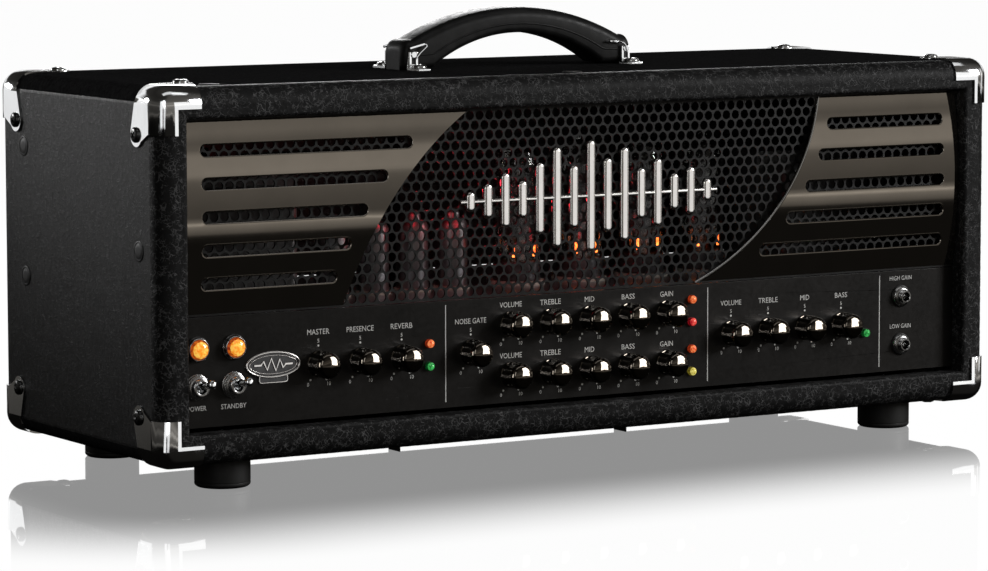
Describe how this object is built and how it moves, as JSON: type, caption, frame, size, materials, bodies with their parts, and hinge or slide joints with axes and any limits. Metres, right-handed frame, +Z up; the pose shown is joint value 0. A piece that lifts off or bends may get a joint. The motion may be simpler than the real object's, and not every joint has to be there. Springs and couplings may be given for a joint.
{
  "type": "guitar amplifier head",
  "caption": "Valve guitar amplifier head: vinyl-covered box with chrome corners, slotted wing plates, turning control knobs, toggle switches, jack sockets and a top handle.",
  "frame": {"origin": "on the floor below the middle of the whole object's box", "axes": "+X to the right seen from the front, the front faces -Y, +Z up"},
  "size_m": [0.6916, 0.2563, 0.3135],
  "materials": {
    "vinyl_covered_wood": "black grained vinyl glued over plywood",
    "tolex_frame": "heavy crinkled black vinyl over wood",
    "grille_paint": "dark grey satin powder coat",
    "black_nickel": "polished dark nickel",
    "emblem_metal": "satin chrome",
    "panel_paint": "satin charcoal",
    "badge_metal": "satin chrome with a dark field",
    "bright_chrome": "polished",
    "bright_steel": "bright zinc plate",
    "foot_rubber": "matte",
    "grip_rubber": "matte, lightly textured",
    "zinc_steel": "zinc-plated sheet",
    "rear_paint": "black powder coat",
    "socket_plastic": "moulded",
    "amber_lens": "faceted amber, lit",
    "light_lens": "lit diffused lens",
    "board_laminate": "green circuit laminate",
    "transformer_paint": "black enamel on laminated steel",
    "socket_ceramic": "cream ceramic",
    "plate_metal": "grey anode on a phenolic base",
    "tube_glass": "clear thin glass",
    "can_aluminium": "plain screening can",
    "knob_plastic": "black chrome plated plastic"
  },
  "bodies": {
    "cabinet": {"bottom_board": "vinyl_covered_wood", "top_board": "vinyl_covered_wood", "left_side_board": "vinyl_covered_wood", "right_side_board": "vinyl_covered_wood", "frame_top_rail": "tolex_frame", "frame_bottom_rail": "tolex_frame", "frame_left_stile": "tolex_frame", "frame_right_stile": "tolex_frame", "mesh_grille": "grille_paint", "left_wing_plate": "black_nickel", "right_wing_plate": "black_nickel", "emblem": "emblem_metal", "control_panel": "panel_paint", "oval_badge": "badge_metal", "corner_protectors": "bright_chrome", "wood_screws": "bright_steel", "foot_screws": "bright_steel", "feet": "foot_rubber", "handle_grip": "grip_rubber", "handle_brackets": "bright_chrome", "chassis_deck": "zinc_steel", "chassis_ends": "zinc_steel", "chassis_rear_panel": "rear_paint", "rear_grille": "rear_paint", "mains_inlet": "socket_plastic", "rear_jacks": "bright_steel", "input_jacks": "bright_steel", "jewel_bezels": "bright_chrome", "jewel_lenses": "amber_lens", "indicator_lights": "light_lens", "toggle_switch_bodies": "bright_steel", "rotary_control_bodies": "zinc_steel", "circuit_board": "board_laminate", "power_transformer": "transformer_paint", "output_transformer": "transformer_paint", "tube_sockets": "socket_ceramic", "power_tube_stems": "plate_metal", "power_tube_envelopes": "tube_glass", "preamp_tubes": "can_aluminium"},
    "power_toggle_lever": {"power_toggle_lever": "bright_chrome"},
    "standby_toggle_lever": {"standby_toggle_lever": "bright_chrome"},
    "impedance_selector_knob": {"impedance_selector_knob": "knob_plastic"},
    "knob_master": {"knob_master": "knob_plastic"},
    "knob_presence": {"knob_presence": "knob_plastic"},
    "knob_reverb": {"knob_reverb": "knob_plastic"},
    "knob_noise_gate": {"knob_noise_gate": "knob_plastic"},
    "knob_lead_volume": {"knob_lead_volume": "knob_plastic"},
    "knob_crunch_volume": {"knob_crunch_volume": "knob_plastic"},
    "knob_lead_treble": {"knob_lead_treble": "knob_plastic"},
    "knob_crunch_treble": {"knob_crunch_treble": "knob_plastic"},
    "knob_lead_mid": {"knob_lead_mid": "knob_plastic"},
    "knob_crunch_mid": {"knob_crunch_mid": "knob_plastic"},
    "knob_lead_bass": {"knob_lead_bass": "knob_plastic"},
    "knob_crunch_bass": {"knob_crunch_bass": "knob_plastic"},
    "knob_lead_gain": {"knob_lead_gain": "knob_plastic"},
    "knob_crunch_gain": {"knob_crunch_gain": "knob_plastic"},
    "knob_clean_volume": {"knob_clean_volume": "knob_plastic"},
    "knob_clean_treble": {"knob_clean_treble": "knob_plastic"},
    "knob_clean_mid": {"knob_clean_mid": "knob_plastic"},
    "knob_clean_bass": {"knob_clean_bass": "knob_plastic"}
  },
  "joints": [
    {"name": "master_turn", "type": "hinge", "parent": "cabinet", "child": "knob_master", "pos_m": [-0.2164, -0.10425, 0.0812], "axis": [0, -1, 0], "range_deg": [-150, 150]},
    {"name": "presence_turn", "type": "hinge", "parent": "cabinet", "child": "knob_presence", "pos_m": [-0.184, -0.10425, 0.0812], "axis": [0, -1, 0], "range_deg": [-150, 150]},
    {"name": "reverb_turn", "type": "hinge", "parent": "cabinet", "child": "knob_reverb", "pos_m": [-0.1516, -0.10425, 0.0812], "axis": [0, -1, 0], "range_deg": [-150, 150]},
    {"name": "noise_gate_turn", "type": "hinge", "parent": "cabinet", "child": "knob_noise_gate", "pos_m": [-0.0966, -0.10425, 0.0812], "axis": [0, -1, 0], "range_deg": [-150, 150]},
    {"name": "lead_volume_turn", "type": "hinge", "parent": "cabinet", "child": "knob_lead_volume", "pos_m": [-0.0642, -0.10425, 0.099], "axis": [0, -1, 0], "range_deg": [-150, 150]},
    {"name": "crunch_volume_turn", "type": "hinge", "parent": "cabinet", "child": "knob_crunch_volume", "pos_m": [-0.0642, -0.10425, 0.0636], "axis": [0, -1, 0], "range_deg": [-150, 150]},
    {"name": "lead_treble_turn", "type": "hinge", "parent": "cabinet", "child": "knob_lead_treble", "pos_m": [-0.0318, -0.10425, 0.099], "axis": [0, -1, 0], "range_deg": [-150, 150]},
    {"name": "crunch_treble_turn", "type": "hinge", "parent": "cabinet", "child": "knob_crunch_treble", "pos_m": [-0.0318, -0.10425, 0.0636], "axis": [0, -1, 0], "range_deg": [-150, 150]},
    {"name": "lead_mid_turn", "type": "hinge", "parent": "cabinet", "child": "knob_lead_mid", "pos_m": [0.0006, -0.10425, 0.099], "axis": [0, -1, 0], "range_deg": [-150, 150]},
    {"name": "crunch_mid_turn", "type": "hinge", "parent": "cabinet", "child": "knob_crunch_mid", "pos_m": [0.0006, -0.10425, 0.0636], "axis": [0, -1, 0], "range_deg": [-150, 150]},
    {"name": "lead_bass_turn", "type": "hinge", "parent": "cabinet", "child": "knob_lead_bass", "pos_m": [0.033, -0.10425, 0.099], "axis": [0, -1, 0], "range_deg": [-150, 150]},
    {"name": "crunch_bass_turn", "type": "hinge", "parent": "cabinet", "child": "knob_crunch_bass", "pos_m": [0.033, -0.10425, 0.0636], "axis": [0, -1, 0], "range_deg": [-150, 150]},
    {"name": "lead_gain_turn", "type": "hinge", "parent": "cabinet", "child": "knob_lead_gain", "pos_m": [0.0654, -0.10425, 0.099], "axis": [0, -1, 0], "range_deg": [-150, 150]},
    {"name": "crunch_gain_turn", "type": "hinge", "parent": "cabinet", "child": "knob_crunch_gain", "pos_m": [0.0654, -0.10425, 0.0636], "axis": [0, -1, 0], "range_deg": [-150, 150]},
    {"name": "clean_volume_turn", "type": "hinge", "parent": "cabinet", "child": "knob_clean_volume", "pos_m": [0.1208, -0.10425, 0.0812], "axis": [0, -1, 0], "range_deg": [-150, 150]},
    {"name": "clean_treble_turn", "type": "hinge", "parent": "cabinet", "child": "knob_clean_treble", "pos_m": [0.1532, -0.10425, 0.0812], "axis": [0, -1, 0], "range_deg": [-150, 150]},
    {"name": "clean_mid_turn", "type": "hinge", "parent": "cabinet", "child": "knob_clean_mid", "pos_m": [0.1856, -0.10425, 0.0812], "axis": [0, -1, 0], "range_deg": [-150, 150]},
    {"name": "clean_bass_turn", "type": "hinge", "parent": "cabinet", "child": "knob_clean_bass", "pos_m": [0.218, -0.10425, 0.0812], "axis": [0, -1, 0], "range_deg": [-150, 150]},
    {"name": "impedance_selector_turn", "type": "hinge", "parent": "cabinet", "child": "impedance_selector_knob", "pos_m": [0.06, 0.10875, 0.079], "axis": [0, 1, 0], "range_deg": [-30, 30]},
    {"name": "power_flip", "type": "hinge", "parent": "cabinet", "child": "power_toggle_lever", "pos_m": [-0.3085, -0.10875, 0.0713], "axis": [1, 0, 0], "range_deg": [0, 28.8]},
    {"name": "standby_flip", "type": "hinge", "parent": "cabinet", "child": "standby_toggle_lever", "pos_m": [-0.281, -0.10875, 0.0713], "axis": [1, 0, 0], "range_deg": [0, 28.8]}
  ]
}
